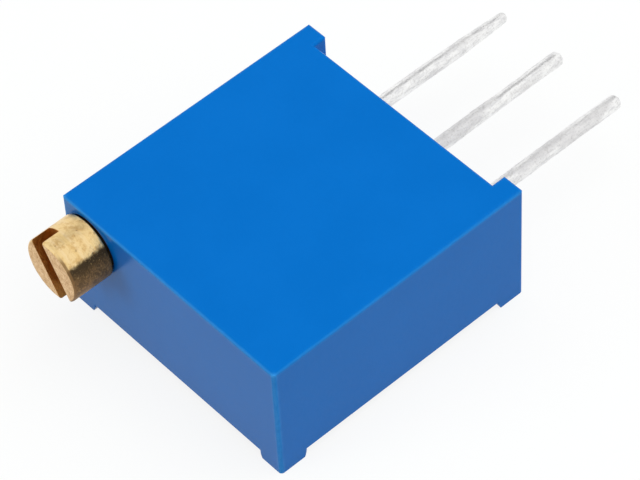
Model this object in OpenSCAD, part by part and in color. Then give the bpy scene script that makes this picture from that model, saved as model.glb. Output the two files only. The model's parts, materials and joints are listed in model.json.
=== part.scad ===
// Multi-turn trimmer potentiometer, square 3/8 inch body, lying on its back feet.
// Origin: axis of the middle terminal, on the plane where the standoffs meet the board.
// +X runs across the three terminals, +Y along them into the board, +Z out of the front face.

/* [Housing] */
// Width of the body, across the terminals
body_w = 9.53; // [9.3:0.01:10.5]
// Length of the body, from the screw face to the terminal face
body_len = 9.53; // [9.3:0.01:10.5]
// Thickness of the body without its feet
body_h = 4.48; // [4.4:0.01:5.2]
// Thickness of the side walls
wall = 0.6; // [0.45:0.05:0.8]
// Thickness of the front wall over the rotor
front_wall = 0.5; // [0.4:0.05:0.6]
// Radius of the moulded outer edges
edge_r = 0.12; // [0.04:0.01:0.2]
// How far the two standoffs reach past the terminal face
standoff_len = 0.5; // [0.3:0.05:0.8]
// Width of each standoff
standoff_w = 0.82; // [0.6:0.02:1]
// Height of the feet under the back rim
foot_h = 0.35; // [0.2:0.05:0.6]
// Width of each foot, across the body
foot_w = 0.85; // [0.6:0.05:1.2]
// Length of each foot, along the body
foot_len = 0.95; // [0.6:0.05:1.4]
// Draft of the inner sides of a foot, over its height
foot_draft = 0.15; // [0.05:0.01:0.2]
// Diameter of the two cored holes beside the rotor well
core_d = 1.2; // [0.8:0.1:1.4]

/* [Terminals] */
// Distance between neighbouring terminals
pitch = 2.54; // [2.5:0.01:2.6]
// Diameter of the round terminal wire
pin_d = 0.51; // [0.4:0.01:0.6]
// Length of a terminal past the standoffs
pin_len = 6.3; // [3:0.1:10]
// Height of the terminal axes above the back rim
pin_rise = 1.75; // [1.6:0.01:1.9]
// Thickness of the flattened inner end of a terminal
blade_t = 0.3; // [0.2:0.02:0.4]
// Width of the flattened inner end of a terminal
blade_w = 0.64; // [0.55:0.02:0.9]
// Length of the flattened end inside the body
blade_len = 1.1; // [0.8:0.05:1.2]
// Chamfer of the cut tip
tip_chamfer = 0.08; // [0.04:0.01:0.12]

/* [Adjusting screw] */
// Distance from the side face to the screw axis
screw_side = 1.2; // [1.18:0.01:1.3]
// Depth of the screw axis below the front face
screw_depth = 1.26; // [1.2:0.01:1.35]
// Diameter of the slotted head
head_d = 2.24; // [2:0.02:2.3]
// How far the head stands out of the body
head_len = 1.56; // [1:0.02:2.5]
// Gap between the head and the body
head_gap = 0.1; // [0.04:0.01:0.14]
// Width of the screwdriver slot
slot_w = 0.6; // [0.4:0.01:0.7]
// Depth of the screwdriver slot
slot_depth = 0.66; // [0.4:0.02:0.9]
// Angle of the slot, turned from the thickness of the body
slot_angle = -30; // [-90:5:90]
// Diameter of the smooth journal in the housing bore
journal_d = 1.86; // [1.76:0.02:1.9]
// Diameter of the tail journal
tail_d = 0.9; // [0.7:0.02:0.92]
// Length of the tail journal
tail_len = 1.2; // [0.8:0.1:1.4]
// Chamfer of the head and of the tail
turned_chamfer = 0.08; // [0.04:0.01:0.12]
// Distance from the screw face to the groove of the O-ring
groove_set = 0.65; // [0.6:0.01:0.7]
// Length of the groove of the O-ring
groove_len = 0.42; // [0.38:0.01:0.46]
// Diameter of the groove of the O-ring
groove_d = 1.24; // [1.2:0.02:1.32]
// Chamfer at the mouth of the screw bore
mouth_chamfer = 0.12; // [0.06:0.01:0.15]

/* [Worm drive] */
// Number of teeth on the rotor, which is also the turns of screw for one turn of rotor
teeth = 32; // [30:1:34]
// Turns of the screw from one end stop to the other
screw_turns = 25; // [20:1:26]
// Pitch diameter of the worm thread
worm_pitch_d = 1.4; // [1.36:0.02:1.44]
// Height of thread and teeth above their pitch line
addendum = 0.15; // [0.12:0.01:0.16]
// Depth of thread and teeth below their pitch line
dedendum = 0.21; // [0.2:0.01:0.24]
// Flank angle of thread and teeth
flank_angle = 20; // [15:1:25]
// Gap left on each side of a tooth in mesh
flank_gap = 0.06; // [0.05:0.005:0.08]
// Threaded length of the worm
worm_len = 4.2; // [3.6:0.1:4.4]
// Length of the worm that stays free of thread, both ends together
thread_relief = 0.4; // [0.3:0.05:0.6]
// Width of the toothed rim
rim_w = 1; // [0.8:0.05:1.1]

/* [Rotor] */
// Diameter of the post in the housing that the rotor turns on
post_d = 1.54; // [1.2:0.02:1.7]
// Diameter of the rotor's hub
hub_d = 2.3; // [2.2:0.02:2.4]
// Diameter of the boss under the hub that centres the wiper
boss_d = 2; // [1.9:0.02:2.1]
// How far the boss reaches below the rim
boss_len = 0.12; // [0.1:0.01:0.14]
// Radial thickness of the rim under the teeth
rim_t = 0.42; // [0.3:0.02:0.5]
// Thickness of the web between hub and rim
web_t = 0.7; // [0.5:0.05:0.8]
// Inner radius of the two stop lugs
lug_r0 = 1.4; // [1.35:0.05:1.5]
// Radial width of the two stop lugs
lug_w = 0.6; // [0.4:0.05:0.65]
// Turn left between the lugs past each end of the travel
lug_spare = 1.6; // [1:0.2:3]
// Diameter of the rivets that hold the wiper
rivet_d = 0.36; // [0.3:0.02:0.4]
// Height of a rivet head, which is also how far it reaches over the sheet
rivet_head = 0.1; // [0.06:0.01:0.12]

/* [Resistance element] */
// Thickness of the ceramic substrate
substrate_t = 0.7; // [0.5:0.05:0.8]
// Thickness of the printed films
film_t = 0.04; // [0.03:0.01:0.06]
// Distance from the root of the teeth inwards to the middle of the resistive track
track_set = 0.4; // [0.38:0.01:0.44]
// Width of the resistive track
track_w = 0.7; // [0.6:0.05:0.8]
// Turn of the track past each end of the travel
track_spare = 2.5; // [1:0.5:3]
// Outer radius of the collector ring
collector_r = 1.2; // [1.1:0.05:1.3]
// Inner radius of the collector ring
collector_bore = 0.5; // [0.4:0.05:0.6]
// Width of the printed pads under the terminals
pad_w = 1; // [0.9:0.05:1.2]
// Height of a solder joint above its pad
solder_h = 0.42; // [0.36:0.02:0.5]
// Depth of the sealing resin below the back rim
seal_recess = 0.1; // [0.05:0.05:0.2]

/* [Wiper] */
// Thickness of the spring sheet
sheet_t = 0.1; // [0.06:0.01:0.12]
// Width of one wiper finger
finger_w = 0.16; // [0.12:0.01:0.18]
// Thickness of a finger, coined thinner than the sheet
finger_t = 0.08; // [0.05:0.01:0.1]
// Distance between the middles of neighbouring fingers
finger_spacing = 0.22; // [0.2:0.01:0.24]
// Flat root of a finger on the comb
finger_root = 0.12; // [0.1:0.01:0.14]
// Length of the turned-up toe past the contact
finger_toe = 0.14; // [0.1:0.01:0.16]
// Width of the comb that carries the fingers
comb_w = 0.4; // [0.3:0.05:0.5]
// Outer radius of the ring that is riveted to the rotor
wiper_ring_r = 2; // [1.9:0.05:2.1]

/* [Screw retainer] */
// Thickness of the forked plate
fork_t = 0.3; // [0.2:0.02:0.35]
// Width of the forked plate
fork_w = 1.8; // [1.7:0.05:1.85]
// Diameter of the neck that the fork holds
neck_d = 1.1; // [0.96:0.02:1.2]
// Distance from the forked plate to the thread
neck_set = 0.3; // [0.26:0.02:0.36]

/* [Fits] */
// Radial running clearance of journals, tail and post
running = 0.03; // [0.02:0.01:0.05]
// Gap between parts that pass each other without touching
gap = 0.05; // [0.04:0.01:0.07]
// Clearance of the thread in its channel
channel_gap = 0.08; // [0.06:0.01:0.12]
// Clearance of the teeth in the well
well_gap = 0.15; // [0.1:0.01:0.2]
// Height of the wiper contacts over the films
contact_gap = 0.02; // [0.01:0.01:0.03]
// Gap between the squeezed O-ring and its seats
ring_gap = 0.005; // [0.005:0.005:0.015]

/* [Hidden] */

$fn = 64;
eps = 0.01;
// longer than any cut needs to be
through = 20;
// how deep thread and teeth are rooted in the round body under them
root_lap = 0.06;

// planes of the body
terminal_face_y = -standoff_len;
screw_face_y = terminal_face_y - body_len;
back_z = -pin_rise;
front_z = back_z + body_h;
foot_z = back_z - foot_h;
ceiling_z = front_z - front_wall;
inner_x = body_w / 2 - wall;
inner_y0 = screw_face_y + wall;
inner_y1 = terminal_face_y - wall;
core_set = core_d / 2 + wall / 4;
pin_r = pin_d / 2;
terminal_x = [-pitch, 0, pitch];

// element, stacked down from the flattened ends of the terminals
pad_top_z = -blade_t / 2;
substrate_top_z = pad_top_z - film_t;
substrate_z = substrate_top_z - substrate_t;
pad_y1 = inner_y1 - 2 * gap;
pad_lap = 0.2;

// worm and wheel
screw_x = -body_w / 2 + screw_side;
screw_z = front_z - screw_depth;
rotor_y = screw_face_y + body_len / 2;
wheel_pitch_r = -screw_x - worm_pitch_d / 2;
worm_pitch = 2 * PI * wheel_pitch_r / teeth;
lead_angle = atan(worm_pitch / (PI * worm_pitch_d));
tooth_t = worm_pitch / 2 - flank_gap;
worm_tip_r = worm_pitch_d / 2 + addendum;
worm_root_r = worm_pitch_d / 2 - dedendum;
wheel_tip_r = wheel_pitch_r + addendum;
wheel_root_r = wheel_pitch_r - dedendum;
worm_y0 = rotor_y - worm_len / 2;
worm_y1 = rotor_y + worm_len / 2;
rim_z0 = screw_z - rim_w / 2;
rim_z1 = screw_z + rim_w / 2;
web_z1 = rim_z0 + web_t;
half_travel = 180 * screw_turns / teeth;
lug_angle = 180 - half_travel - lug_spare;
boss_z0 = rim_z0 - boss_len;
hub_z1 = ceiling_z - gap;
well_r = wheel_tip_r + well_gap;
rivet_x = (lug_r0 + wiper_ring_r - rivet_head) / 2;
track_r = wheel_root_r - track_set;
// the comb passes under the worm, and carries the outer finger on its edge
comb_r = -screw_x - sqrt(pow(worm_tip_r, 2) - pow(rim_w / 2, 2)) - gap;
comb_x = sqrt(pow(comb_r, 2) - pow(track_r + finger_spacing + finger_w / 2, 2)) - finger_root / 2;
track_angle = 2 * (half_travel + track_spare);

// along the screw, from the head inwards
bore_r = journal_d / 2 + running;
channel_r = worm_tip_r + channel_gap;
groove_y = screw_face_y + groove_set;
groove_r = groove_d / 2;
fork_y = worm_y0 - neck_set - fork_t;
neck_y0 = fork_y - gap;
neck_y1 = fork_y + fork_t + gap;
tail_y1 = worm_y1 + tail_len;
tail_bore_y1 = tail_y1 + gap;
head_y1 = screw_face_y - head_gap;
head_y0 = screw_face_y - head_len;

// half the thickness of a thread or tooth at a given rise above its pitch line
function half_tooth(rise) = tooth_t / 2 - rise * tan(flank_angle);

// box between two corners
module box(x, y, z) {
    translate([x[0], y[0], z[0]])
        cube([x[1] - x[0], y[1] - y[0], z[1] - z[0]]);
}

// round bar along Y between two values of y
module bar_y(r, y0, y1) {
    translate([0, y0, 0])
        rotate([-90, 0, 0])
            cylinder(r = r, h = y1 - y0);
}

// rectangle with rounded corners
module rounded_rect(x0, y0, x1, y1, r) {
    translate([x0 + r, y0])
        square([x1 - x0 - 2 * r, y1 - y0]);
    translate([x0, y0 + r])
        square([x1 - x0, y1 - y0 - 2 * r]);
    for (x = [x0 + r, x1 - r], y = [y0 + r, y1 - r])
        translate([x, y])
            circle(r = r, $fn = 32);
}

// block whose standing edges and front edges are rounded, and whose back is cut square
module moulded_block(x, y, z) {
    under = z[0] - 2 * edge_r;
    intersection() {
        translate([0, 0, z[0]])
            linear_extrude(z[1] - z[0])
                rounded_rect(x[0], y[0], x[1], y[1], edge_r);
        translate([0, y[1] + eps, 0])
            rotate([90, 0, 0])
                linear_extrude(y[1] - y[0] + 2 * eps)
                    rounded_rect(x[0], under, x[1], z[1], edge_r);
        translate([x[0] - eps, 0, 0])
            rotate([90, 0, 90])
                linear_extrude(x[1] - x[0] + 2 * eps)
                    rounded_rect(y[0], under, y[1], z[1], edge_r);
    }
}

// notch in the terminal wall, open to the back, drawn in the XZ plane
module notch_outline() {
    half_w = pin_r + gap;
    translate([-half_w, back_z - eps])
        square([2 * half_w, half_w + eps - back_z]);
}

// ring sector about the rotor axis; the angle is centred on the direction of turn
module sector(r0, r1, z0, z1, angle, turn) {
    translate([0, rotor_y, z0])
        rotate([0, 0, turn - angle / 2])
            rotate_extrude(angle = angle)
                translate([r0, 0])
                    square([r1 - r0, z1 - z0]);
}

// outline of a foot from one side, with its outer corner at x = 0
module foot_outline(reach) {
    polygon([[eps, foot_z], [-reach, foot_z], [-reach - foot_draft, back_z], [eps, back_z]]);
}

// foot with drafted inner sides, under a corner of the body at x = 0 and y = 0
module foot() {
    across = foot_w + foot_draft;
    along = foot_len + foot_draft;
    intersection() {
        moulded_block([-across, 0], [-along, 0], [foot_z, back_z + wall]);
        translate([0, eps, 0])
            rotate([90, 0, 0])
                linear_extrude(along + 2 * eps)
                    foot_outline(foot_w);
        translate([-across - eps, 0, 0])
            rotate([90, 0, 90])
                linear_extrude(across + 2 * eps)
                    foot_outline(foot_len);
    }
}

module standoffs_and_feet() {
    x_out = body_w / 2;
    for (side = [0, 1])
        mirror([side, 0, 0]) {
            moulded_block([x_out - standoff_w, x_out], [terminal_face_y - wall, 0], [back_z, front_z]);
            translate([x_out, 0, 0])
                foot();
            translate([x_out, screw_face_y, 0])
                mirror([0, 1, 0])
                    foot();
        }
}

module screw_passage() {
    translate([screw_x, 0, screw_z]) {
        bar_y(bore_r, screw_face_y - eps, worm_y0);
        bar_y(channel_r, worm_y0 - eps, worm_y1 + gap);
        bar_y(tail_d / 2 + running, worm_y1, tail_bore_y1);
        // eased mouth behind the head
        translate([0, screw_face_y - eps, 0])
            rotate([-90, 0, 0])
                cylinder(r1 = bore_r + mouth_chamfer, r2 = bore_r - eps, h = mouth_chamfer + eps);
    }
    // the channel is open to the back, so that the mould core can leave it
    box([screw_x - channel_r, screw_x + channel_r], [worm_y0, worm_y1 + gap],
        [substrate_top_z - eps, screw_z]);
}

module housing() {
    color([0.06, 0.38, 0.78]) {
        difference() {
            union() {
                moulded_block([-body_w / 2, body_w / 2], [screw_face_y, terminal_face_y], [back_z, front_z]);
                standoffs_and_feet();
            }
            // between the standoffs the feet end flush with them
            box([standoff_w - body_w / 2, body_w / 2 - standoff_w], [terminal_face_y, eps],
                [foot_z - eps, back_z]);
            // pocket for substrate and resin, open at the back
            box([-inner_x, inner_x], [inner_y0, inner_y1], [foot_z - eps, substrate_top_z]);
            // round well for the rotor
            translate([0, rotor_y, substrate_top_z - eps])
                cylinder(r = well_r, h = ceiling_z - substrate_top_z + eps);
            screw_passage();
            fork_slot();
            // room over the soldered ends of the terminals
            box([-pitch - pad_w / 2 - gap, pitch + pad_w / 2 + gap], [inner_y1 - 2 * blade_len, inner_y1],
                [substrate_top_z - eps, pad_top_z + solder_h + gap]);
            // cored corners, away from the screw
            for (y = [inner_y0 + core_set, inner_y1 - core_set])
                translate([inner_x - core_set, y, substrate_top_z - eps])
                    cylinder(d = core_d, h = ceiling_z - substrate_top_z + eps);
            for (x = terminal_x)
                translate([x, terminal_face_y + eps, 0])
                    rotate([90, 0, 0])
                        linear_extrude(wall + 2 * eps)
                            notch_outline();
        }
        // post and stop lug hang from the front wall
        translate([0, rotor_y, boss_z0 - gap])
            cylinder(d = post_d, h = ceiling_z - boss_z0 + gap + eps);
        sector(lug_r0, lug_r0 + lug_w, web_z1 + gap, ceiling_z + eps, lug_angle, 90);
    }
}

// half profile of the turned screw: radius, then distance along the screw
function screw_profile() = [
    [0, head_y0], [head_d / 2 - turned_chamfer, head_y0], [head_d / 2, head_y0 + turned_chamfer],
    [head_d / 2, head_y1 - turned_chamfer / 2], [head_d / 2 - turned_chamfer / 2, head_y1],
    [journal_d / 2, head_y1],
    [journal_d / 2, groove_y], [groove_r, groove_y],
    [groove_r, groove_y + groove_len], [journal_d / 2, groove_y + groove_len],
    [journal_d / 2, neck_y0], [neck_d / 2, neck_y0], [neck_d / 2, neck_y1],
    [worm_tip_r, neck_y1], [worm_tip_r, neck_y1 + turned_chamfer], [worm_root_r, worm_y0],
    [worm_root_r, worm_y1], [tail_d / 2, worm_y1],
    [tail_d / 2, tail_y1 - turned_chamfer], [tail_d / 2 - turned_chamfer, tail_y1], [0, tail_y1]
];

// right-hand thread ridge: rings of four points, swept round the screw axis
module worm_thread() {
    steps = 24;
    count = floor((worm_len - tooth_t - thread_relief) / worm_pitch * steps);
    // the crest rises over half a turn at each end
    run_out = steps / 2;
    r_in = worm_root_r - root_lap;
    // a crest faces the wheel at the height of the rotor axis
    start = -floor(count / 2);
    function crest(i) = r_in + (worm_tip_r - r_in) * min(1, (i + 2) / run_out, (count - i + 2) / run_out);
    function ring(i) =
        let (angle = (start + i) * 360 / steps, y = rotor_y + (start + i) * worm_pitch / steps,
             root = half_tooth(r_in - worm_pitch_d / 2), tip_r = crest(i), tip = half_tooth(addendum))
        [for (p = [[r_in, -root], [tip_r, -tip], [tip_r, tip], [r_in, root]])
            [p[0] * cos(angle), y + p[1], -p[0] * sin(angle)]];
    points = [for (i = [0:count]) each ring(i)];
    sides = [for (i = [0:count - 1], k = [0:3])
        let (a = 4 * i + k, b = 4 * i + (k + 1) % 4)
        each [[a, b + 4, a + 4], [a, b, b + 4]]];
    last = 4 * count;
    caps = [[2, 1, 0], [3, 2, 0], [last + 1, last + 2, last + 3], [last, last + 1, last + 3]];
    translate([screw_x, 0, screw_z])
        polyhedron(points, concat(sides, caps));
}

module adjusting_screw() {
    color([0.85, 0.68, 0.42]) {
        difference() {
            translate([screw_x, 0, screw_z])
                rotate([-90, 0, 0])
                    rotate_extrude()
                        polygon(screw_profile());
            translate([screw_x, head_y0, screw_z])
                rotate([0, slot_angle, 0])
                    translate([-slot_w / 2, -eps, -head_d])
                        cube([slot_w, slot_depth + eps, 2 * head_d]);
        }
        worm_thread();
    }
}

module o_ring() {
    section_r = (bore_r - groove_r) / 2 - ring_gap;
    color([0.12, 0.12, 0.12])
        translate([screw_x, groove_y + groove_len / 2, screw_z])
            rotate([-90, 0, 0])
                rotate_extrude()
                    translate([(bore_r + groove_r) / 2, 0])
                        circle(r = section_r, $fn = 32);
}

// fork and its slot share this outline, drawn in the XZ plane round the screw axis
module fork_blank(grow) {
    bottom = pad_top_z - screw_z;
    translate([-fork_w / 2, bottom])
        square([fork_w, neck_d / 2 + gap + grow - bottom]);
}

module fork_slot() {
    translate([screw_x, fork_y + fork_t, screw_z])
        rotate([90, 0, 0])
            linear_extrude(fork_t)
                union() {
                    fork_blank(gap);
                    translate([-fork_w / 2, substrate_top_z - eps - screw_z])
                        square([fork_w, film_t + 2 * eps]);
                }
}

module screw_retainer() {
    color([0.62, 0.63, 0.65])
        translate([screw_x, fork_y + fork_t, screw_z])
            rotate([90, 0, 0])
                linear_extrude(fork_t)
                    difference() {
                        fork_blank(0);
                        circle(r = neck_d / 2 + gap);
                        translate([-neck_d / 2 - gap, 0])
                            square([neck_d + 2 * gap, neck_d]);
                    }
}

// one straight tooth, leaned to the lead angle of the worm
module tooth() {
    root = dedendum + root_lap;
    // longer than the rim, then trimmed to it
    translate([wheel_pitch_r, 0, screw_z])
        rotate([-lead_angle, 0, 0])
            linear_extrude(rim_w + 2 * root, center = true)
                polygon([[-root, -half_tooth(-root)], [addendum, -half_tooth(addendum)],
                         [addendum, half_tooth(addendum)], [-root, half_tooth(-root)]]);
}

module rotor() {
    color([0.93, 0.92, 0.88]) {
        difference() {
            union() {
                // a space between two teeth faces the worm
                translate([0, rotor_y, 0])
                    intersection() {
                        for (i = [0:teeth - 1])
                            rotate([0, 0, (i + 0.5) * 360 / teeth])
                                tooth();
                        box([-through, through], [-through, through], [rim_z0, rim_z1]);
                    }
                translate([0, rotor_y, rim_z0])
                    cylinder(r = wheel_root_r, h = rim_w);
            }
            // recess inside the rim, down to the web
            translate([0, rotor_y, web_z1])
                difference() {
                    cylinder(r = wheel_root_r - rim_t, h = rim_w);
                    cylinder(d = hub_d, h = rim_w);
                }
            rotor_bore();
        }
        difference() {
            union() {
                translate([0, rotor_y, rim_z0])
                    cylinder(d = hub_d, h = hub_z1 - rim_z0);
                translate([0, rotor_y, boss_z0])
                    cylinder(d = boss_d, h = boss_len + eps);
            }
            rotor_bore();
        }
        sector(lug_r0, lug_r0 + lug_w, web_z1 - eps, hub_z1, lug_angle, -90);
        rivets();
    }
}

module rotor_bore() {
    translate([0, rotor_y, boss_z0 - eps])
        cylinder(d = post_d + 2 * running, h = through);
}

// two rivets, headed over the wiper sheet
module rivets() {
    for (side = [-1, 1])
        translate([side * rivet_x, rotor_y, rim_z0 - sheet_t]) {
            cylinder(d = rivet_d, h = sheet_t + eps);
            translate([0, 0, -rivet_head])
                cylinder(d1 = rivet_d, d2 = rivet_d + 2 * rivet_head, h = rivet_head);
        }
}

// strip of even thickness along a bent line, drawn in side view
module bent_strip(line, t) {
    n = len(line);
    function normal(i) =
        let (a = line[max(i - 1, 0)], b = line[min(i + 1, n - 1)], d = b - a)
        [-d[1], d[0]] / norm(d) * t;
    polygon(concat(line, [for (i = [n - 1:-1:0]) line[i] + normal(i)]));
}

// one finger, bent down from the comb to its contact at x = 0
module finger(r) {
    drop = rim_z0 - sheet_t - pad_top_z - contact_gap;
    // the toe turns up by a third of its length
    lift = finger_toe / 3;
    line = [[0, 0], [finger_root, 0], [comb_x - finger_toe, lift - drop], [comb_x, -drop],
            [comb_x + finger_toe, lift - drop]];
    translate([comb_x, rotor_y - r + finger_w / 2, rim_z0 - sheet_t])
        rotate([90, 0, 0])
            linear_extrude(finger_w)
                mirror([1, 0])
                    bent_strip(line, finger_t);
}

module wiper() {
    color([0.86, 0.72, 0.4]) {
        difference() {
            union() {
                translate([0, rotor_y, rim_z0 - sheet_t])
                    cylinder(r = wiper_ring_r, h = sheet_t);
                // comb that carries the fingers
                intersection() {
                    box([comb_x - finger_root / 2, comb_x + comb_w], [rotor_y - comb_r, rotor_y],
                        [rim_z0 - sheet_t, rim_z0]);
                    translate([0, rotor_y, rim_z0 - sheet_t])
                        cylinder(r = comb_r, h = sheet_t);
                }
            }
            translate([0, rotor_y, rim_z0 - sheet_t - eps])
                cylinder(d = boss_d, h = sheet_t + 2 * eps);
            for (side = [-1, 1])
                translate([side * rivet_x, rotor_y, rim_z0 - sheet_t - eps])
                    cylinder(d = rivet_d, h = sheet_t + 2 * eps);
        }
        for (i = [-1, 0, 1])
            finger(track_r + i * finger_spacing);
        for (i = [-0.5, 0.5])
            finger((collector_r + collector_bore) / 2 + i * finger_spacing);
    }
}

module substrate() {
    color([0.95, 0.94, 0.9])
        box([gap - inner_x, inner_x - gap], [inner_y0 + gap, inner_y1 - gap],
            [substrate_z, substrate_top_z]);
}

// horseshoe track, open towards the terminals
module resistive_track() {
    color([0.2, 0.2, 0.22])
        sector(track_r - track_w / 2, track_r + track_w / 2, substrate_top_z, pad_top_z, track_angle, -90);
}

module collector_track() {
    color([0.8, 0.79, 0.74])
        difference() {
            union() {
                translate([0, rotor_y, substrate_top_z])
                    cylinder(r = collector_r, h = film_t);
                box([-pad_w / 2, pad_w / 2], [rotor_y + collector_bore, pad_y1],
                    [substrate_top_z, pad_top_z]);
            }
            translate([0, rotor_y, substrate_top_z - eps])
                cylinder(r = collector_bore, h = film_t + 2 * eps);
        }
}

// printed conductor from one end of the track to its terminal
module end_pad(side) {
    end = track_angle / 2;
    // turn of the track that the pad reaches past the end of the film
    overlap = 6;
    r0 = track_r - track_w / 2;
    r1 = track_r + track_w / 2;
    x_pin = side * pitch;
    y_pin = inner_y1 - blade_len - pad_lap;
    function polar(r, angle) = [side * r * sin(angle), rotor_y - r * cos(angle)];
    color([0.8, 0.79, 0.74]) {
        sector(r0, r1, substrate_top_z, pad_top_z, overlap, -90 + side * (end + overlap / 2));
        translate([0, 0, substrate_top_z])
            linear_extrude(film_t)
                polygon([
                    polar(r1, end),
                    [x_pin + side * pad_w / 2, y_pin],
                    [x_pin + side * pad_w / 2, pad_y1],
                    [x_pin - side * pad_w / 2, pad_y1],
                    [x_pin - side * pad_w / 2, y_pin + pad_lap],
                    polar(track_r, end + overlap)
                ]);
    }
}

module end_pad_1() {
    end_pad(-1);
}

module end_pad_3() {
    end_pad(1);
}

// round wire with a flattened end that lies on its pad
module terminal(x) {
    // the wire is round from just inside the wall
    round_y0 = terminal_face_y - pin_r / 2;
    shoulder_y = inner_y1 - 2 * gap;
    color([0.82, 0.82, 0.83])
        translate([x, 0, 0]) {
            box([-blade_w / 2, blade_w / 2], [inner_y1 - blade_len, shoulder_y], [-blade_t / 2, blade_t / 2]);
            // inside the wall the blade narrows to pass the notch
            box([-pin_r, pin_r], [shoulder_y - eps, round_y0], [-blade_t / 2, blade_t / 2]);
            bar_y(pin_r, round_y0, pin_len - tip_chamfer);
            translate([0, pin_len - tip_chamfer, 0])
                rotate([-90, 0, 0])
                    cylinder(r1 = pin_r, r2 = pin_r - tip_chamfer, h = tip_chamfer);
        }
}

module terminal_1() {
    terminal(terminal_x[0]);
}

module terminal_2() {
    terminal(terminal_x[1]);
}

module terminal_3() {
    terminal(terminal_x[2]);
}

// low dome of solder over the flattened end
module solder_joint(x) {
    base_r = pad_w / 2;
    ball_r = (base_r * base_r + solder_h * solder_h) / (2 * solder_h);
    color([0.75, 0.76, 0.78])
        difference() {
            intersection() {
                translate([x, inner_y1 - blade_len + pad_lap, pad_top_z + solder_h - ball_r])
                    sphere(r = ball_r);
                box([x - pad_w, x + pad_w], [inner_y1 - 2 * blade_len, inner_y1], [pad_top_z, front_z]);
            }
            terminal(x);
        }
}

module solder_joint_1() {
    solder_joint(terminal_x[0]);
}

module solder_joint_2() {
    solder_joint(terminal_x[1]);
}

module solder_joint_3() {
    solder_joint(terminal_x[2]);
}

module back_seal() {
    seal_z = back_z + seal_recess;
    color([0.55, 0.62, 0.66])
        difference() {
            union() {
                box([-inner_x, inner_x], [inner_y0, inner_y1], [seal_z, substrate_z]);
                for (x = terminal_x)
                    translate([x, terminal_face_y, 0])
                        rotate([90, 0, 0])
                            linear_extrude(wall)
                                intersection() {
                                    notch_outline();
                                    translate([-pitch / 2, seal_z])
                                        square([pitch, front_z - seal_z]);
                                }
            }
            for (x = terminal_x)
                terminal(x);
        }
}

housing();
adjusting_screw();
o_ring();
screw_retainer();
rotor();
wiper();
substrate();
resistive_track();
collector_track();
end_pad_1();
end_pad_3();
terminal_1();
terminal_2();
terminal_3();
solder_joint_1();
solder_joint_2();
solder_joint_3();
back_seal();
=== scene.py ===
import json
import math
import random

import bmesh
import bpy
from mathutils import Matrix, Vector


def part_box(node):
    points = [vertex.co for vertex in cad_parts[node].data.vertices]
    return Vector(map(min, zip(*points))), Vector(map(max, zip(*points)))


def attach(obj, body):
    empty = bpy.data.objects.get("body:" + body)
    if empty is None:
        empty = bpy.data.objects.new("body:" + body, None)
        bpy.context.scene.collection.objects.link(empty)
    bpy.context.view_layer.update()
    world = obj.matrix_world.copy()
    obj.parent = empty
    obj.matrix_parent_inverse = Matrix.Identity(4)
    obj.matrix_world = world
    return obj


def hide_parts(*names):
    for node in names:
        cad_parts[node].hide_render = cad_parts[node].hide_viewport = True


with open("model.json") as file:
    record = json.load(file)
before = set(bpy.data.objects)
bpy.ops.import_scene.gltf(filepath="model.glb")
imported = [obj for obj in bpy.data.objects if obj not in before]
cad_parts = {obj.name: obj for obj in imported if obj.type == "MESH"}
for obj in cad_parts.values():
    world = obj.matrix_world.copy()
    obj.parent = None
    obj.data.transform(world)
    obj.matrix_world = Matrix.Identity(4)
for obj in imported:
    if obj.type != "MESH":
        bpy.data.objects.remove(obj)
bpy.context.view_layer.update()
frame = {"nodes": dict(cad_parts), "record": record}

mm = 0.001

# places that come from the frame
mounts = {mount["name"]: mount for mount in frame["record"]["mounts"]}
housingLow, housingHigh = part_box("housing")
screwLow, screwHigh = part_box("adjusting_screw")
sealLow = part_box("back_seal")[0]
slotPlace = Vector(mounts["driver_slot"]["pos_m"])
screwFront = Vector((slotPlace.x, screwLow.y, slotPlace.z))      # middle of the slotted end
headRadius = (screwHigh.x - screwLow.x) / 2
print("frame loaded:", len(frame["nodes"]), "nodes")

view = {
    "place": (53.114, -47.896, 83.157),      # mm
    "looks": (-0.49068, 0.40513, -0.77143),
    "roll": 3.634,                           # degrees about the line of sight
    "lens": 198.5,                           # mm on a 36 mm sensor
    "sensor": 36,
    "near": 1,                               # mm
    "far": 10000,
}


def makeCamera():
    data = bpy.data.cameras.new("productCamera")
    data.sensor_width = view["sensor"]
    data.lens = view["lens"]
    data.clip_start = view["near"] * mm
    data.clip_end = view["far"] * mm
    camera = bpy.data.objects.new("productCamera", data)
    bpy.context.scene.collection.objects.link(camera)
    looks = Vector(view["looks"])
    roll = Matrix.Rotation(math.radians(view["roll"]), 3, looks).to_quaternion()
    camera.rotation_mode = "QUATERNION"
    camera.rotation_quaternion = roll @ looks.to_track_quat("-Z", "Y")
    camera.location = Vector(view["place"]) * mm
    bpy.context.scene.camera = camera


makeCamera()
bpy.context.scene.view_settings.view_transform = "Standard"
print("camera set")


# an output socket that can be reckoned with: each sign adds its Math node
class Signal:
    def __init__(self, nodes, socket):
        self.nodes = nodes
        self.socket = socket

    def maths(self, sign, *terms):
        return self.nodes.node("ShaderNodeMath", {"operation": sign}, dict(enumerate(terms)))

    def __add__(self, other):
        return self.maths("ADD", self, other)

    def __radd__(self, other):
        return self.maths("ADD", other, self)

    def __sub__(self, other):
        return self.maths("SUBTRACT", self, other)

    def __rsub__(self, other):
        return self.maths("SUBTRACT", other, self)

    def __mul__(self, other):
        return self.maths("MULTIPLY", self, other)

    def __rmul__(self, other):
        return self.maths("MULTIPLY", other, self)

    def __pow__(self, other):
        return self.maths("POWER", self, other)

    def __abs__(self):
        return self.maths("ABSOLUTE", self)


# a plain colour gets its alpha
def colour(value):
    return value if isinstance(value, Signal) else (*value, 1)


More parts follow.
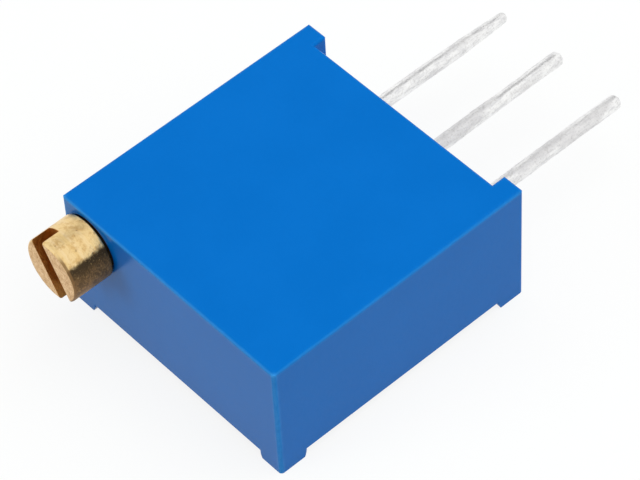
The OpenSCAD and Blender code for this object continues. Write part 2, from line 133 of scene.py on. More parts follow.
# a node tree that nodes are added to
class Nodes:
    def __init__(self, tree):
        self.tree = tree

    def feed(self, socket, value):
        if isinstance(value, Signal):
            self.tree.links.new(value.socket, socket)
        else:
            socket.default_value = value

    def node(self, kind, settings=None, sockets=None, out=0):
        made = self.tree.nodes.new(kind)
        for key, value in (settings or {}).items():
            if key == "stops":
                self.setStops(made.color_ramp.elements, value)
            else:
                setattr(made, key, value)
        for key, value in (sockets or {}).items():
            self.feed(made.inputs[key], value)
        return Signal(self, made.outputs[out])

    def setStops(self, elements, stops):
        for element, (position, shade) in zip(elements, stops):
            element.position = position
            element.color = colour(shade)

    # 0 below low, 1 above high
    def rise(self, value, low, high):
        return self.node("ShaderNodeMapRange", {"interpolation_type": "SMOOTHSTEP"},
                         {"Value": value, "From Min": low, "From Max": high})

    # 1 below low, 0 above high
    def drop(self, value, low, high):
        return self.rise(value, high, low)

    # 1 at nought, 0 from reach on
    def fade(self, value, reach):
        return 1 - self.rise(value, 0, reach)

    # what is seen straight on, and what is seen in metal or through glass
    def raySwitches(self):
        rays = self.node("ShaderNodeLightPath").socket.node.outputs
        seen, glossy, through = (Signal(self, rays["Is %s Ray" % kind])
                                 for kind in ("Camera", "Glossy", "Transmission"))
        return seen, glossy + through


# a material, made on its own Principled shader
class Finish(Nodes):
    def __init__(self, name, fixed=None):
        self.material = bpy.data.materials.new(name)
        self.material.use_nodes = True
        super().__init__(self.material.node_tree)
        self.shader = self.tree.nodes["Principled BSDF"]
        self.paint(fixed or {})

    # object coordinates in millimetres from a centre, with the pattern stretched
    def place(self, stretch=(1, 1, 1), centre=(0, 0, 0)):
        here = self.node("ShaderNodeTexCoord", out="Object")
        scale = [share * mm for share in stretch]
        return self.node("ShaderNodeMapping", {"vector_type": "TEXTURE"},
                         {"Vector": here, "Location": centre, "Scale": scale})

    def split(self, place):
        axes = self.node("ShaderNodeSeparateXYZ", {}, {0: place}).socket.node.outputs
        return [Signal(self, axis) for axis in axes]

    # noise with grains of that size in millimetres
    def grain(self, size, detail=3, rough=0.5, where=None):
        return self.node("ShaderNodeTexNoise", {}, {"Vector": where or self.place(), "Scale": 1 / size,
                                                    "Detail": detail, "Roughness": rough})

    # distance to the nearest of points scattered that many millimetres apart
    def scatter(self, spacing, where=None):
        return self.node("ShaderNodeTexVoronoi", {}, {"Vector": where or self.place(), "Scale": 1 / spacing},
                         out="Distance")

    def ramp(self, value, *stops):
        return self.node("ShaderNodeValToRGB", {"stops": stops}, {"Fac": value})

    # a Mix node's colour sockets are 6, 7 and output 2
    def blend(self, factor, first, second):
        return self.node("ShaderNodeMix", {"data_type": "RGBA"},
                         {0: factor, 6: colour(first), 7: colour(second)}, out=2)

    # depth in millimetres
    def bump(self, height, depth, strength=1.0, over=None):
        sockets = {"Height": height, "Distance": depth * mm, "Strength": strength}
        if over:
            sockets["Normal"] = over
        return self.node("ShaderNodeBump", {}, sockets)

    def paint(self, sockets):
        for name, value in sockets.items():
            self.feed(self.shader.inputs[name], value)
        return self


def deselectAll():
    if bpy.context.mode != "OBJECT":
        bpy.ops.object.mode_set(mode="OBJECT")
    bpy.ops.object.select_all(action="DESELECT")


def pickUp(piece):
    deselectAll()
    piece.select_set(True)
    bpy.context.view_layer.objects.active = piece


def editAll(piece):
    pickUp(piece)
    bpy.ops.object.mode_set(mode="EDIT")
    bpy.ops.mesh.select_mode(type="FACE")
    bpy.ops.mesh.select_all(action="SELECT")


def selectFaces(piece, test):
    mesh = bmesh.from_edit_mesh(piece.data)
    for face in mesh.faces:
        face.select_set(test(face))
    mesh.select_flush_mode()
    bmesh.update_edit_mesh(piece.data)


def applyModifier(piece, kind, **settings):
    pickUp(piece)
    modifier = piece.modifiers.new(kind.title(), kind)
    for key, value in settings.items():
        setattr(modifier, key, value)
    bpy.ops.object.modifier_apply(modifier=modifier.name)


# cuts a tool out of a piece or joins it on, and then the tool is gone
def carve(piece, tool, operation):
    applyModifier(piece, "BOOLEAN", object=tool, operation=operation, solver="EXACT")
    bpy.data.objects.remove(tool)


weldWithin = 1e-7        # m, and how near to a cut a point counts as on it
faceWeight = 90          # how far the large faces lead in the shading


# a node's own mesh, welded and without its stored normals
def copyNode(nodeName, pieceName):
    mesh = frame["nodes"][nodeName].data.copy()
    mesh.materials.clear()
    piece = bpy.data.objects.new(pieceName, mesh)
    bpy.context.scene.collection.objects.link(piece)
    editAll(piece)
    bpy.ops.mesh.remove_doubles(threshold=weldWithin)
    bpy.ops.object.mode_set(mode="OBJECT")
    bpy.ops.mesh.customdata_custom_splitnormals_clear()
    return piece


# the end of a node's mesh that lies past y, or before it
def cutNode(nodeName, pieceName, y, **side):
    piece = copyNode(nodeName, pieceName)
    editAll(piece)
    bpy.ops.mesh.bisect(plane_co=(0, y, 0), plane_no=(0, 1, 0), use_fill=True, threshold=weldWithin,
                        **side)
    bpy.ops.object.mode_set(mode="OBJECT")
    return piece


# disc across the screw or a wire, which then grows along Y ring by ring
def startBar(name, centre, radius, sides):
    deselectAll()
    bpy.ops.mesh.primitive_circle_add(vertices=sides, radius=radius, fill_type="NGON",
                                      location=centre, rotation=(math.pi / 2, 0, 0))
    piece = bpy.context.object
    piece.name = name
    bpy.ops.object.transform_apply(location=True, rotation=True)
    editAll(piece)
    return piece


def growBar(centre, y, share, step):
    bpy.ops.mesh.extrude_region_move(TRANSFORM_OT_translate={"value": step})
    if share != 1:
        bpy.ops.transform.resize(value=(share, 1, share), center_override=(centre.x, y, centre.z))


def closeUp(piece):
    editAll(piece)
    bpy.ops.mesh.remove_doubles(threshold=weldWithin)
    bpy.ops.mesh.normals_make_consistent(inside=False)
    bpy.ops.object.mode_set(mode="OBJECT")


def smoothOff(piece, angle):
    pickUp(piece)
    bpy.ops.object.shade_smooth_by_angle(angle=math.radians(angle))
    applyModifier(piece, "WEIGHTED_NORMAL", keep_sharp=True, weight=faceWeight)


def handIn(piece, body, slot, *nodes):
    piece.data.materials.clear()
    piece.data.materials.append(finishes[slot].material)
    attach(piece, body)
    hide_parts(*nodes)
    print("made", piece.name, len(piece.data.polygons), "faces")


floorSheet = {
    "size": 0.6,             # m
    "drop": 0.003,           # mm under the feet, so that the two don't flicker
    "grey": 0.50,            # what the floor sends back to the object
    "roughness": 0.9,
    "ior": 1.1,
    "shadowShare": 0.15,     # how much of the shadow it shows
}
room = {
    "strength": 0.42,                # what the room adds to the light on the object
    "card": (-0.45, 0.405, 0.796),   # a dark card that keeps the glare off the top
    "cardSize": (9, 15),             # degrees from its middle: all dark, all white
    "cardShade": 0.15,
}
lampDistance = 0.30          # m
lamps = {
    "overheadBox": {"towards": (-0.10, 0.10, 1.0), "size": 0.30, "watts": 0.26, "tint": (1, 0.95, 1)},
    "frontLeftBox": {"towards": (-0.32, -0.80, 0.45), "size": 0.10, "watts": 0.14, "tint": (0.94, 1.20, 1)},
    "rightBox": {"towards": (0.45, 0.42, 0.79), "size": 0.42, "watts": 0.57, "tint": (0.95, 1.08, 0.98)},
}
white = (1, 1, 1, 1)


# plain white to the eye and in metal, grey for the light that it sends back
def makeFloor():
    deselectAll()
    floorZ = housingLow.z - floorSheet["drop"] * mm
    bpy.ops.mesh.primitive_plane_add(size=floorSheet["size"], location=(0, 0, floorZ))
    floor = bpy.context.object
    floor.name = "paleFloor"
    finish = Finish("paleFloor", {"Base Color": colour((floorSheet["grey"],) * 3),
                                  "Roughness": floorSheet["roughness"], "IOR": floorSheet["ior"]})
    seen, mirrored = finish.raySwitches()
    glow = finish.node("ShaderNodeEmission", {}, {"Color": white, "Strength": 1.0})
    shaded = finish.node("ShaderNodeBsdfDiffuse", {}, {"Color": white})
    shown = finish.node("ShaderNodeMixShader", {}, {0: floorSheet["shadowShare"], 1: glow, 2: shaded})
    plain = Signal(finish, finish.shader.outputs[0])
    mixed = finish.node("ShaderNodeMixShader", {}, {0: seen + mirrored, 1: plain, 2: shown})
    finish.feed(finish.tree.nodes["Material Output"].inputs["Surface"], mixed)
    floor.data.materials.append(finish.material)


# white all round but for the card, and a soft light in itself
def makeWorld():
    world = bpy.data.worlds.new("softRoom")
    world.use_nodes = True
    nodes = Nodes(world.node_tree)
    seen, mirrored = nodes.raySwitches()
    direction = nodes.node("ShaderNodeTexCoord", out="Generated")
    toCard = Vector(room["card"]).normalized()
    near = nodes.node("ShaderNodeVectorMath", {"operation": "DOT_PRODUCT"}, {0: direction, 1: toCard},
                      out="Value")
    inner, outer = (math.cos(math.radians(angle)) for angle in room["cardSize"])
    walls = 1 - nodes.rise(near, outer, inner) * (1 - room["cardShade"])
    unseen = mirrored * walls + (1 - mirrored) * room["strength"]
    background = nodes.tree.nodes["Background"].inputs
    nodes.feed(background["Strength"], seen + (1 - seen) * unseen)
    nodes.feed(background["Color"], white)
    bpy.context.scene.world = world


def makeLamps():
    for name, lamp in lamps.items():
        data = bpy.data.lights.new(name, "AREA")
        data.shape = "SQUARE"
        data.size = lamp["size"]
        data.energy = lamp["watts"]
        data.color = lamp["tint"]
        box = bpy.data.objects.new(name, data)
        box.visible_glossy = False      # mirrored, it would add to the white room behind it
        bpy.context.scene.collection.objects.link(box)
        towards = Vector(lamp["towards"]).normalized()
        box.location = towards * lampDistance
        box.rotation_mode = "QUATERNION"
        box.rotation_quaternion = (-towards).to_track_quat("-Z", "Y")


makeFloor()
makeWorld()
makeLamps()
print("stage set")

blue = {
    "body": (0.0020, 0.160, 0.610),
    "pale": (0.0024, 0.165, 0.625),
    "deep": (0.0016, 0.155, 0.595),
    # colour of the painted highlight along the outer edges
    "edgeHighlight": (0.050, 0.340, 0.880),
    "ior": 1.45,
    "specular": 0.15,
    "specularTint": (0.1, 1, 1, 1),      # takes the red out of its shine
    "cloudGrain": 2.2,           # mm
    "cloudRange": (0.3, 0.7),
    "fineGrain": 0.09,
    "fineShare": 0.3,
    "peelGrain": 0.16,
    "peelDepth": 0.004,
    "highlightBreakupGrain": 0.3,
    "highlightWidth": 0.20,            # mm from an outer edge
    "highlightLeast": 0.75,            # share of that width where the painted highlight is narrowest
    "highlightMore": 0.5,              # what the breakup noise adds to the share
    "crest": 0.4,                # share of that width by which the painted highlight runs in over the top
    "sideEdges": 0.55,           # how much the side edges of the top show beside the front one
    "uprightLeast": 0.45,        # the painted highlight on the upright front corners, and what the breakup noise adds there
    "uprightMore": 0.5,
    "roughness": 0.18,
    "roughCloud": 0.08,
    "roughGrain": 0.5,
    "roughHighlight": 0.1,
}


# satin moulding, with a painted highlight along the outer edges
def makeBlueMoulding():
    finish = Finish("blueMoulding", {"IOR": blue["ior"], "Specular IOR Level": blue["specular"],
                                     "Specular Tint": blue["specularTint"]})
    here = finish.place(centre=((housingLow.x + housingHigh.x) / 2, housingLow.y, housingHigh.z))
    x, y, z = finish.split(here)
    highlightBreakup = finish.grain(blue["highlightBreakupGrain"], detail=4, rough=0.6, where=here)
    reach = blue["highlightWidth"] * (blue["highlightLeast"] + blue["highlightMore"] * highlightBreakup)
    fromSide = (housingHigh.x - housingLow.x) / 2 / mm - abs(x)
    upright = finish.fade(y, reach) * finish.fade(fromSide, reach)
    upright = upright * (blue["uprightLeast"] + blue["uprightMore"] * highlightBreakup)
    crest = reach * blue["crest"]
    topEdges = finish.fade(y, crest) + finish.fade(fromSide, crest) * blue["sideEdges"]
    # painted highlight along the top edges and the upright front corners
    edgeHighlight = finish.fade(0 - z, reach) * topEdges + upright

    cloud = finish.grain(blue["cloudGrain"], detail=4)
    fine = finish.grain(blue["fineGrain"], detail=2)
    body = finish.blend(finish.rise(cloud, *blue["cloudRange"]), blue["deep"], blue["pale"])
    body = finish.blend(blue["fineShare"], body, finish.blend(fine, blue["deep"], blue["body"]))
    body = finish.blend(edgeHighlight, body, blue["edgeHighlight"])
    rough = blue["roughness"] + blue["roughCloud"] * finish.grain(blue["roughGrain"])
    rough = rough + blue["roughHighlight"] * edgeHighlight
    peel = finish.bump(finish.grain(blue["peelGrain"]), blue["peelDepth"])
    return finish.paint({"Base Color": body, "Roughness": rough, "Normal": peel})


moulding = {"flatWithin": 0.5, "smoothAngle": 35}       # degrees


# the moulded shell: flats joined up, corners shaded round
def makeHousing():
    piece = copyNode("housing", "mouldedHousing")
    editAll(piece)
    bpy.ops.mesh.dissolve_limited(angle_limit=math.radians(moulding["flatWithin"]))
    bpy.ops.object.mode_set(mode="OBJECT")
    smoothOff(piece, moulding["smoothAngle"])
    handIn(piece, "case", "blue_moulding", "housing")


screwHead = {
    "sides": 144,
    "chamfer": 0.07,         # mm
    # shares of the chamfer: along the axis, and off the radius
    "chamferSteps": [(0, 1), (0.25, 0.45), (0.6, 0.12), (1.1, 0)],
    "gap": 0.10,             # between head and housing
    "land": 0.04,            # last ring of the turned side, which keeps the rear edge crisp
    "slotWidth": 0.60,
    "slotDepth": 0.66,
    "slotAngle": -30,        # degrees from upright
    "stub": 0.6,             # how far the head's own stem reaches into the journal
    "stemRadius": 0.9,
    "edge": 0.008,           # broken edges, each of two facets
    "edgeFacets": 2,
    "edgeAngle": 50,         # degrees from which an edge is broken
    "smoothAngle": 32,
}
brass = {
    "clean": (0.90, 0.65, 0.29),
    "pale": (0.94, 0.72, 0.40),
    "dull": (0.72, 0.46, 0.18),
    "sawn": (0.55, 0.26, 0.062),
    "sawnDark": (0.33, 0.145, 0.03),
    "face": (0.52, 0.29, 0.105),
    "facePale": (0.83, 0.58, 0.31),
    # dark brown of the painted shade on one side, and a paler brown for its patches and for the pits
    "film": (0.070, 0.043, 0.018),
    "filmPale": (0.36, 0.195, 0.070),
    # painted shade along the front rim on the shaded side
    "rim": (0.24, 0.13, 0.05),
    # grains, in mm
    "markGrain": 0.035,
    "coarseGrain": 0.16,
    "mottleGrain": 0.24,
    "fleckGrain": 0.06,
    "pitSpacing": 0.2,
    # ranges of noise over which one tone gives way to the next, and the most that it shows
    "paleRange": (0.3, 0.8),
    "dullRange": (0.46, 0.66),
    "dullShare": 0.85,
    "faceRange": (0.26, 0.76),
    "faceFleck": 0.6,            # how far the flecks break up the mottle
    "patchRange": (0.36, 0.62),
    "patchFleck": 0.8,
    "patchLeast": 0.45,
    # painted highlight specks within the painted shade
    "paintedGlintRange": (0.60, 0.72),
    "paintedGlintShare": 0.5,
    "sawnRange": (0.4, 0.65),
    "sawnShare": 0.6,
    "pitRange": (0.52, 0.62),
    "pitSize": (0.10, 0.26),
    "pitShare": 0.7,
    # mm back from the end face
    "faceDepth": (0.004, 0.012),
    "rimDepth": (0.06, 0.11),
    "turnedEnd": (1.56, 1.62),
    # painted shade on the rear edge of the head and the journal in the gap
    "gapShadeStart": (1.50, 1.54),
    "gapShadeEnd": (2.3, 2.4),
    # mm past the walls and the floor of the slot
    "slotWalls": (0.004, 0.015),
    "slotFloor": (0.01, 0.03),
    # painted shade on one side of the head: its direction, then distances towards it in head radii
    "shadeDirection": (0.844, -0.537),
    "shadeRange": (0.25, 0.37),
    "shadeWander": 0.22,
    "filmRange": (0.40, 0.78),
    "rimRange": (-0.30, 0.10),
    "rimShare": 0.85,
    # roughness of the clean metal, and what each of these adds
    "roughness": 0.24,
    "roughMarks": 0.12,
    "roughShadeSide": 0.16,
    "roughSlot": 0.12,
    "roughFace": 0.10,
    "roughGapShade": 0.3,
    # how much less of a metal the painted side shade and the painted gap shade make it
    "filmDull": 0.2,
    "gapShadeDull": 0.8,
    # depths of the marks, in mm
    "markDepth": 0.003,
    "mottleDepth": 0.020,
    "fleckDepth": 0.006,
    "pitDepth": 0.015,
}


# turned brass: bright, with painted shade on one side, round the front rim and in the gap behind the head;
# dark in the sawn slot
def makeTurnedBrass():
    finish = Finish("turnedBrass")
    here = finish.place(centre=screwFront)
    x, y, z = finish.split(here)

    # tool marks run round the turned sides and ring the end face
    radius = (x * x + z * z) ** 0.5
    along = finish.node("ShaderNodeCombineXYZ", {}, {0: y + radius})
    marks = finish.grain(brass["markGrain"], detail=2, where=along)
    coarse = finish.grain(brass["coarseGrain"], detail=1, where=along)
    mottle = finish.grain(brass["mottleGrain"], detail=5, rough=0.65, where=here)
    fleck = finish.grain(brass["fleckGrain"], rough=0.6, where=here)

    # where each finish lies
    slant = math.radians(screwHead["slotAngle"])
    fromWalls = abs(x * math.cos(slant) - z * math.sin(slant)) - screwHead["slotWidth"] / 2
    fromFloor = y - screwHead["slotDepth"]
    inSlot = finish.drop(fromWalls, *brass["slotWalls"]) * finish.drop(fromFloor, *brass["slotFloor"])
    onFace = finish.drop(y, *brass["faceDepth"])
    towardsX, towardsZ = (share / (headRadius / mm) for share in brass["shadeDirection"])
    side = x * towardsX + z * towardsZ
    turned = finish.drop(y, *brass["turnedEnd"]) * (1 - onFace)
    # painted shade on the side of the head turned away from the light
    paintedShadeSide = finish.rise(side + (mottle - 0.5) * brass["shadeWander"], *brass["shadeRange"]) * turned
    # painted shade on the rear edge of the head and the journal in the gap behind it
    gapShade = finish.rise(y, *brass["gapShadeStart"]) * finish.drop(y, *brass["gapShadeEnd"])
    # painted shade along the front rim on the shaded side
    rim = finish.drop(y, *brass["rimDepth"]) * finish.rise(side, *brass["rimRange"]) * (1 - onFace)
    pits = finish.drop(finish.scatter(brass["pitSpacing"], where=here), *brass["pitSize"])
    pits = pits * finish.rise(mottle, *brass["pitRange"]) * (1 - inSlot)

    # colours, from the bright metal to the slot
    body = finish.blend(finish.rise(coarse, *brass["paleRange"]), brass["clean"], brass["pale"])
    body = finish.blend(finish.rise(mottle, *brass["dullRange"]) * brass["dullShare"], body, brass["dull"])
    grainy = finish.rise(mottle + (fleck - 0.5) * brass["faceFleck"], *brass["faceRange"])
    body = finish.blend(onFace, body, finish.blend(grainy, brass["facePale"], brass["face"]))
    body = finish.blend(pits * brass["pitShare"], body, brass["filmPale"])
    patchy = finish.rise(mottle + (fleck - 0.5) * brass["patchFleck"], *brass["patchRange"])
    patchy = brass["patchLeast"] + (1 - brass["patchLeast"]) * patchy
    # painted shade colour, paler in patches further round that side
    film = finish.blend(patchy * finish.rise(side, *brass["filmRange"]), brass["film"], brass["filmPale"])
    # painted highlight specks: paler metal flecks in the painted shade
    paintedGlints = finish.rise(fleck, *brass["paintedGlintRange"]) * patchy * brass["paintedGlintShare"]
    body = finish.blend(paintedShadeSide, body, finish.blend(paintedGlints, film, brass["dull"]))
    body = finish.blend(rim * brass["rimShare"], body, brass["rim"])
    body = finish.blend(gapShade, body, brass["film"])
    sawn = finish.rise(mottle, *brass["sawnRange"]) * brass["sawnShare"]
    sawn = finish.blend(sawn, brass["sawn"], brass["sawnDark"])
    body = finish.blend(inSlot, body, sawn)

    rough = brass["roughness"] + brass["roughMarks"] * marks + brass["roughShadeSide"] * paintedShadeSide
    rough = rough + brass["roughSlot"] * inSlot + brass["roughFace"] * onFace + brass["roughGapShade"] * gapShade
    metal = 1 - brass["filmDull"] * paintedShadeSide * (1 - inSlot) - brass["gapShadeDull"] * gapShade * (1 - turned)
    skin = finish.bump(marks, brass["markDepth"])
    skin = finish.bump(mottle, brass["mottleDepth"], over=skin)
    skin = finish.bump(fleck, brass["fleckDepth"], over=skin)
    skin = finish.bump(1 - pits, brass["pitDepth"], over=skin)
    return finish.paint({"Base Color": body, "Roughness": rough, "Metallic": metal, "Normal": skin})


# the head is turned and slotted here; journal, groove, neck, thread and tail come from the frame
def makeScrew():
    chamfer = screwHead["chamfer"] * mm
    stem = screwHead["stemRadius"] * mm
    stub = screwHead["stub"] * mm
    rearY = housingLow.y - screwHead["gap"] * mm
    rings = [(screwFront.y + chamfer * along, headRadius - chamfer * off)
             for along, off in screwHead["chamferSteps"]]
    rings += [(rearY - screwHead["land"] * mm, headRadius), (rearY, headRadius), (rearY, stem),
              (rearY + stub, stem)]
    piece = startBar("slottedScrew", screwFront, rings[0][1], screwHead["sides"])
    for (y, radius), (nextY, nextRadius) in zip(rings, rings[1:]):
        growBar(screwFront, nextY, nextRadius / radius, (0, nextY - y, 0))
    closeUp(piece)

    # the slot, sawn across the head: the cutter is centred on the end face, so twice as deep
    bpy.ops.mesh.primitive_cube_add(
        size=1, location=screwFront, rotation=(0, math.radians(screwHead["slotAngle"]), 0),
        scale=(screwHead["slotWidth"] * mm, 2 * screwHead["slotDepth"] * mm, 4 * headRadius))
    carve(piece, bpy.context.object, "DIFFERENCE")
    applyModifier(piece, "BEVEL", width=screwHead["edge"] * mm, segments=screwHead["edgeFacets"],
                  limit_method="ANGLE", angle_limit=math.radians(screwHead["edgeAngle"]))

    carve(piece, cutNode("adjusting_screw", "screwShank", rearY + stub / 2, clear_inner=True), "UNION")
    smoothOff(piece, screwHead["smoothAngle"])
    handIn(piece, "screw", "turned_brass", "adjusting_screw")


tin = {
    "bright": (0.98, 0.98, 0.97),
    "grey": (0.74, 0.74, 0.75),
    "dull": (0.75, 0.74, 0.74),
    "crystal": (0.58, 0.57, 0.56),
    "drawn": (1, 4, 1),          # how far the pattern is drawn out along the wire
    "streakGrain": 0.11,         # mm
    "streakRange": (0.32, 0.62),
    "streakDepth": 0.014,
    "patchGrain": 0.42,
    "patchRange": (0.42, 0.62),
    "patchShare": 0.6,
    "crystalGrain": 0.07,
    "crystalRange": (0.5, 0.7),
    "crystalShare": 0.5,
    "crystalDepth": 0.005,
    "roughness": 0.27,
    "roughPatch": 0.20,
    "roughCrystal": 0.12,
}


# hot-dipped wire, streaky along its length
def makeTinnedWire():
    finish = Finish("tinnedWire", {"Metallic": 1.0})
    drawn = finish.place(stretch=tin["drawn"])
    streak = finish.grain(tin["streakGrain"], detail=4, rough=0.65, where=drawn)
    patch = finish.rise(finish.grain(tin["patchGrain"], where=drawn), *tin["patchRange"])
    crystal = finish.grain(tin["crystalGrain"], rough=0.6)
    body = finish.blend(finish.rise(streak, *tin["streakRange"]), tin["grey"], tin["bright"])
    body = finish.blend(patch * tin["patchShare"], body, tin["dull"])
    crystals = finish.rise(crystal, *tin["crystalRange"]) * tin["crystalShare"]
    body = finish.blend(crystals, body, tin["crystal"])
    skin = finish.bump(streak, tin["streakDepth"])
    skin = finish.bump(crystal, tin["crystalDepth"], over=skin)
    rough = tin["roughness"] + tin["roughPatch"] * patch + tin["roughCrystal"] * crystal
    return finish.paint({"Base Color": body, "Roughness": rough, "Normal": skin})


terminalWire = {
    "start": -0.6275,        # mm along Y, where the round wire leaves the flattened end
    "root": 0.9,             # share of the radius with which the wire starts inside that end
    "overlap": 0.02,         # mm of that end left round the start
    "sides": 40,
    "rings": 70,
    "swell": 0.012,          # most that a ring falls short of the radius
    "wander": 0.003,         # most that a ring steps aside from the one before it
    "tip": 0.08,             # length of the broken tip
    "tipShare": 0.72,        # its end, as a share of the wire
    "seed": 40,
    "smoothAngle": 40,       # degrees
    # share of the radius at shares of the length: how each wire was left by the cutter and the dip
    "outline": {1: [(0, 1), (0.74, 1), (1, 0.74)],
                2: [(0, 1), (0.5, 1), (0.66, 0.93), (0.85, 0.98), (1, 1)],
                3: [(0, 1), (1, 1)]},
}


def shareAt(outline, along):
    for (start, first), (end, last) in zip(outline, outline[1:]):
        if along <= end:
            return first + (last - first) * (along - start) / (end - start)
    return outline[-1][1]


# dipped wire, a little uneven along its length; its flattened end comes from the frame
def makeTerminal(number):
    nodeName = "terminal_%d" % number
    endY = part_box(nodeName)[1].y
    axis = Vector(mounts[nodeName]["pos_m"])
    radius = mounts[nodeName]["dims"]["r_mm"] * mm
    centre = Vector((axis.x, terminalWire["start"] * mm, axis.z))
    wander = terminalWire["wander"] * mm
    dice = random.Random(terminalWire["seed"] + number)
    rings = terminalWire["rings"]
    pitch = (endY - terminalWire["tip"] * mm - centre.y) / rings
    y, size = centre.y, radius * terminalWire["root"]
    piece = startBar("tinnedTerminal%d" % number, centre, size, terminalWire["sides"])
    for ring in range(rings):
        y += pitch
        nextSize = radius * shareAt(terminalWire["outline"][number], (ring + 1) / rings)
        nextSize += dice.uniform(-1, 0) * terminalWire["swell"] * mm
        strayX = dice.uniform(-1, 1) * wander
        strayZ = dice.uniform(-1, 1) * wander
        growBar(centre, y, nextSize / size, (strayX, pitch, strayZ))
        size = nextSize
    growBar(centre, endY, terminalWire["tipShare"], (0, endY - y, 0))
    closeUp(piece)

    joinY = centre.y + terminalWire["overlap"] * mm
    carve(piece, cutNode(nodeName, "blade", joinY, clear_outer=True), "UNION")
    smoothOff(piece, terminalWire["smoothAngle"])
    handIn(piece, "case", "tinned_wire", nodeName)


resin = {
    "dark": (0.075, 0.13, 0.17),
    "light": (0.11, 0.18, 0.22),
    "cloudGrain": 1.3,           # mm
    "cloudRange": (0.3, 0.7),
    "poreSpacing": 0.625,
    "poreSize": (0.05, 0.14),
    "poreDepth": 0.02,
    "poreStrength": 0.6,
    "roughness": 0.16,
    "roughCloud": 0.12,
    "ior": 1.5,
}


# cast resin with a few burst bubbles
def makeSealingResin():
    finish = Finish("sealingResin", {"IOR": resin["ior"]})
    cloud = finish.grain(resin["cloudGrain"], detail=4)
    low, high = resin["cloudRange"]
    body = finish.ramp(cloud, (low, resin["dark"]), (high, resin["light"]))
    pores = finish.rise(finish.scatter(resin["poreSpacing"]), *resin["poreSize"])
    skin = finish.bump(pores, resin["poreDepth"], strength=resin["poreStrength"])
    rough = resin["roughness"] + resin["roughCloud"] * cloud
    return finish.paint({"Base Color": body, "Roughness": rough, "Normal": skin})


meniscus = {
    "flatWithin": 1,         # degrees
    "backNormal": -0.99,     # faces that look out of the back
    "backDepth": 0.01,       # and lie within this of its lowest, in mm
    "rise": 0.055,           # mm up the walls
    "steps": [(0.03, 0.026), (0.05, 0.016), (0.08, 0.009), (0.10, 0.004)],      # mm inwards, and down
    "smoothAngle": 50,
}


# resin that crept up the walls before it set
def makeSeal():
    piece = copyNode("back_seal", "castResin")
    editAll(piece)
    bpy.ops.mesh.dissolve_limited(angle_limit=math.radians(meniscus["flatWithin"]))
    backZ = sealLow.z + meniscus["backDepth"] * mm
    selectFaces(piece, lambda face: face.normal.z < meniscus["backNormal"]
                and face.calc_center_median().z < backZ)
    bpy.ops.mesh.extrude_region_move(TRANSFORM_OT_translate={"value": (0, 0, -meniscus["rise"] * mm)})
    for inwards, down in meniscus["steps"]:
        bpy.ops.mesh.inset(thickness=inwards * mm, depth=-down * mm, use_boundary=True)
    bpy.ops.object.mode_set(mode="OBJECT")
    smoothOff(piece, meniscus["smoothAngle"])
    handIn(piece, "case", "sealing_resin", "back_seal")


nylon = {
    "dark": (0.74, 0.71, 0.62),
    "light": (0.82, 0.80, 0.73),
    "cloudGrain": 0.8,           # mm
    "cloudRange": (0.3, 0.7),
    "skinGrain": 0.1,
    "skinDepth": 0.003,
    "glow": 0.15,                # how much of the light goes in
    "glowDepth": 0.3,            # and how far, in mm
    "roughness": 0.4,
    "roughCloud": 0.1,
}


# natural nylon, which lets a little light in
def makeRotorNylon():
    finish = Finish("rotorNylon", {"Subsurface Weight": nylon["glow"],
                                   "Subsurface Scale": nylon["glowDepth"] * mm})
    cloud = finish.grain(nylon["cloudGrain"])
    low, high = nylon["cloudRange"]
    body = finish.ramp(cloud, (low, nylon["dark"]), (high, nylon["light"]))
    skin = finish.bump(finish.grain(nylon["skinGrain"]), nylon["skinDepth"])
    rough = nylon["roughness"] + nylon["roughCloud"] * cloud
    return finish.paint({"Base Color": body, "Roughness": rough, "Normal": skin})


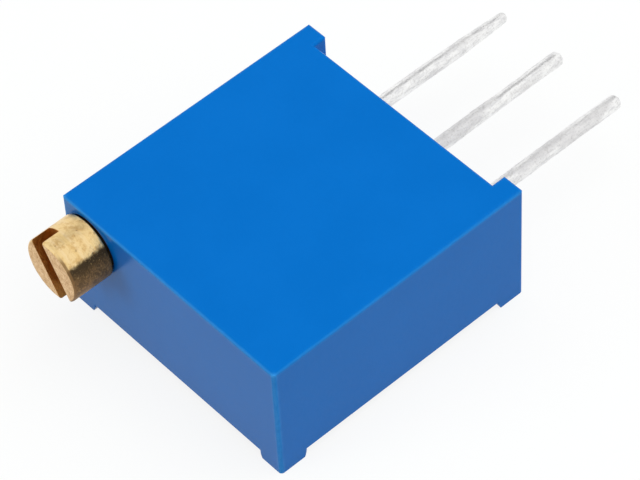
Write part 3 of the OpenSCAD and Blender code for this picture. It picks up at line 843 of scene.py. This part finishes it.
# the plain finishes of the inner pieces: grain and depth in mm, roughness of the dark grains
# and what the light ones add to it
plainFinishes = {
    "alumina": {
        "dark": (0.80, 0.79, 0.74), "light": (0.89, 0.88, 0.84),
        "grain": 0.06, "depth": 0.006, "rough": 0.62, "rougher": 0.1,
    },
    "resistiveFilm": {
        "dark": (0.012, 0.012, 0.014), "light": (0.035, 0.034, 0.036), "range": (0.35, 0.7),
        "grain": 0.05, "detail": 4, "depth": 0.004, "rough": 0.35, "rougher": 0.2,
    },
    "conductorFilm": {
        "dark": (0.46, 0.45, 0.41), "light": (0.62, 0.61, 0.56), "metal": 0.8,
        "grain": 0.07, "depth": 0.004, "rough": 0.42, "rougher": 0.15,
    },
    "solder": {
        "dark": (0.48, 0.49, 0.50), "light": (0.66, 0.67, 0.68), "metal": 1.0,
        "grain": 0.2, "detail": 4, "depth": 0.01, "rough": 0.3, "rougher": 0.25,
    },
    "sealRubber": {
        "dark": (0.010, 0.010, 0.010), "light": (0.022, 0.022, 0.022),
        "grain": 0.05, "detail": 2, "depth": 0.003, "rough": 0.45, "rougher": 0.15,
    },
    "springSteel": {
        "dark": (0.42, 0.42, 0.43), "light": (0.56, 0.56, 0.56), "metal": 1.0,
        "grain": 0.12, "detail": 4, "depth": 0.003, "rough": 0.25, "rougher": 0.2, "rolled": (1, 1, 6),
    },
    "contactAlloy": {
        "dark": (0.66, 0.46, 0.20), "light": (0.82, 0.62, 0.33), "metal": 1.0,
        "grain": 0.1, "detail": 4, "depth": 0.003, "rough": 0.22, "rougher": 0.18, "rolled": (5, 1, 1),
    },
}


def makePlainFinish(name):
    plain = plainFinishes[name]
    finish = Finish(name, {"Metallic": plain.get("metal", 0.0)})
    where = finish.place(stretch=plain.get("rolled", (1, 1, 1)))
    grain = finish.grain(plain["grain"], detail=plain.get("detail", 3), where=where)
    low, high = plain.get("range", (0.3, 0.7))
    body = finish.ramp(grain, (low, plain["dark"]), (high, plain["light"]))
    rough = plain["rough"] + plain["rougher"] * grain
    skin = finish.bump(grain, plain["depth"])
    return finish.paint({"Base Color": body, "Roughness": rough, "Normal": skin})


# by the names of the record's material slots
finishes = {
    "blue_moulding": makeBlueMoulding(),
    "turned_brass": makeTurnedBrass(),
    "tinned_wire": makeTinnedWire(),
    "sealing_resin": makeSealingResin(),
    "rotor_nylon": makeRotorNylon(),
    "alumina": makePlainFinish("alumina"),
    "resistive_film": makePlainFinish("resistiveFilm"),
    "conductor_film": makePlainFinish("conductorFilm"),
    "solder": makePlainFinish("solder"),
    "seal_rubber": makePlainFinish("sealRubber"),
    "spring_steel": makePlainFinish("springSteel"),
    "contact_alloy": makePlainFinish("contactAlloy"),
}
slotOf = {part["node"]: part["material_slot"] for part in frame["record"]["subparts"]}
for nodeName, nodeObject in frame["nodes"].items():
    nodeObject.data.materials.clear()
    nodeObject.data.materials.append(finishes[slotOf[nodeName]].material)
print("materials made:", len(finishes))

makeHousing()
makeScrew()
for terminalNumber in terminalWire["outline"]:
    makeTerminal(terminalNumber)
makeSeal()

deselectAll()
print("all pieces made")
